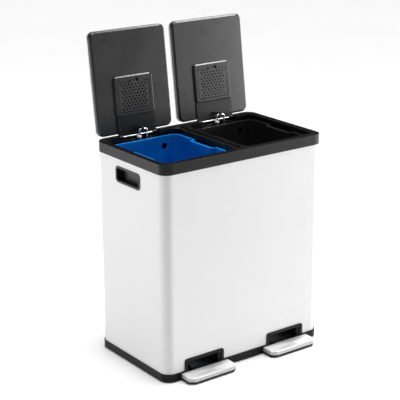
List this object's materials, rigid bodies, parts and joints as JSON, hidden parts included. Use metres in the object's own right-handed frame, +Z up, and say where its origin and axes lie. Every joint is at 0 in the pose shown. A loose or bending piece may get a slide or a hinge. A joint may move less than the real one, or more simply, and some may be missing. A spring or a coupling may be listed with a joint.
{
  "type": "double recycling bin",
  "caption": "Double pedal recycling bin in white painted steel with black plastic frame, separate lids with odour filters and lift-out inner buckets.",
  "frame": {"origin": "middle of the footprint, on the floor, under the moulded rest pad of the base", "axes": "+Z up, front with the pedals towards -Y, +X to the right seen from the front"},
  "size_m": [0.591, 0.4657, 0.9785],
  "materials": {
    "white_paint": "smooth semi-gloss white powder coat",
    "black_plastic": "fine-grained matt black moulding",
    "lid_plastic": "satin dark grey moulding",
    "nylon_black": "black nylon",
    "white_nylon": "white nylon, slightly glossy",
    "black_rubber": "black rubber",
    "bright_steel": "bright drawn steel",
    "brushed_steel": "stainless, brushed along its length",
    "zinc_steel": "zinc-plated pressing",
    "dark_screws": "black screws",
    "filter_foam": "charcoal foam",
    "blue_plastic": "satin blue polypropylene",
    "dark_plastic": "satin black polypropylene"
  },
  "bodies": {
    "root": {"body_shell": "white_paint", "base_tray": "black_plastic", "rubber_feet": "black_rubber", "top_frame": "black_plastic", "hand_grip_left": "black_plastic", "hand_grip_right": "black_plastic", "hinge_rod_left": "bright_steel", "hinge_rod_right": "bright_steel", "pedal_axles": "bright_steel", "axle_clips": "bright_steel", "wire_guides": "nylon_black"},
    "lid_left": {"lid_skin_left": "white_paint", "lid_tray_left": "lid_plastic", "filter_box_left": "lid_plastic", "filter_pad_left": "filter_foam", "hinge_plate_left": "lid_plastic", "hinge_screws_left": "dark_screws"},
    "filter_door_left_body": {"filter_door_left": "lid_plastic"},
    "pedal_left": {"pedal_plate_left": "brushed_steel", "pedal_pad_left": "black_rubber", "pedal_arm_left": "zinc_steel"},
    "lift_left": {"lift_wire_left": "bright_steel", "wire_cap_left": "white_nylon"},
    "bucket_left_body": {"bucket_left": "blue_plastic"},
    "lid_right": {"lid_skin_right": "white_paint", "lid_tray_right": "lid_plastic", "filter_box_right": "lid_plastic", "filter_pad_right": "filter_foam", "hinge_plate_right": "lid_plastic", "hinge_screws_right": "dark_screws"},
    "filter_door_right_body": {"filter_door_right": "lid_plastic"},
    "pedal_right": {"pedal_plate_right": "brushed_steel", "pedal_pad_right": "black_rubber", "pedal_arm_right": "zinc_steel"},
    "lift_right": {"lift_wire_right": "bright_steel", "wire_cap_right": "white_nylon"},
    "bucket_right_body": {"bucket_right": "dark_plastic"}
  },
  "joints": [
    {"name": "lid_left_hinge", "type": "hinge", "parent": "root", "child": "lid_left", "pos_m": [-0.1475, 0.167, 0.66], "axis": [-1, 0, 0], "range_deg": [-97.4, 0]},
    {"name": "filter_door_left_hinge", "type": "hinge", "parent": "lid_left", "child": "filter_door_left_body", "pos_m": [-0.1475, 0.17668, 0.73377], "axis": [-1, 0, 0], "range_deg": [-90, 0]},
    {"name": "pedal_left_hinge", "type": "hinge", "parent": "root", "child": "pedal_left", "pos_m": [-0.147, -0.005, 0.04], "axis": [-1, 0, 0], "range_deg": [0, 7.01]},
    {"name": "lift_wire_left_slide", "type": "slide", "parent": "root", "child": "lift_left", "axis": [0, 0, 1], "range_m": [-0.01975, 0]},
    {"name": "bucket_left_slide", "type": "slide", "parent": "root", "child": "bucket_left_body", "axis": [0, 0, 1], "range_m": [0, 0.62]},
    {"name": "lid_right_hinge", "type": "hinge", "parent": "root", "child": "lid_right", "pos_m": [0.1475, 0.167, 0.66], "axis": [-1, 0, 0], "range_deg": [-97.4, 0]},
    {"name": "filter_door_right_hinge", "type": "hinge", "parent": "lid_right", "child": "filter_door_right_body", "pos_m": [0.1475, 0.17668, 0.73377], "axis": [-1, 0, 0], "range_deg": [-90, 0]},
    {"name": "pedal_right_hinge", "type": "hinge", "parent": "root", "child": "pedal_right", "pos_m": [0.163, -0.005, 0.04], "axis": [-1, 0, 0], "range_deg": [0, 7.01]},
    {"name": "lift_wire_right_slide", "type": "slide", "parent": "root", "child": "lift_right", "axis": [0, 0, 1], "range_m": [-0.01975, 0]},
    {"name": "bucket_right_slide", "type": "slide", "parent": "root", "child": "bucket_right_body", "axis": [0, 0, 1], "range_m": [0, 0.62]}
  ],
  "couplings": [
    {"joint": "pedal_left_hinge", "follows": "lid_left_hinge", "ratio": -0.071869},
    {"joint": "lift_wire_left_slide", "follows": "lid_left_hinge", "m_per_rad": 0.011589},
    {"joint": "pedal_right_hinge", "follows": "lid_right_hinge", "ratio": -0.071869},
    {"joint": "lift_wire_right_slide", "follows": "lid_right_hinge", "m_per_rad": 0.011589}
  ]
}
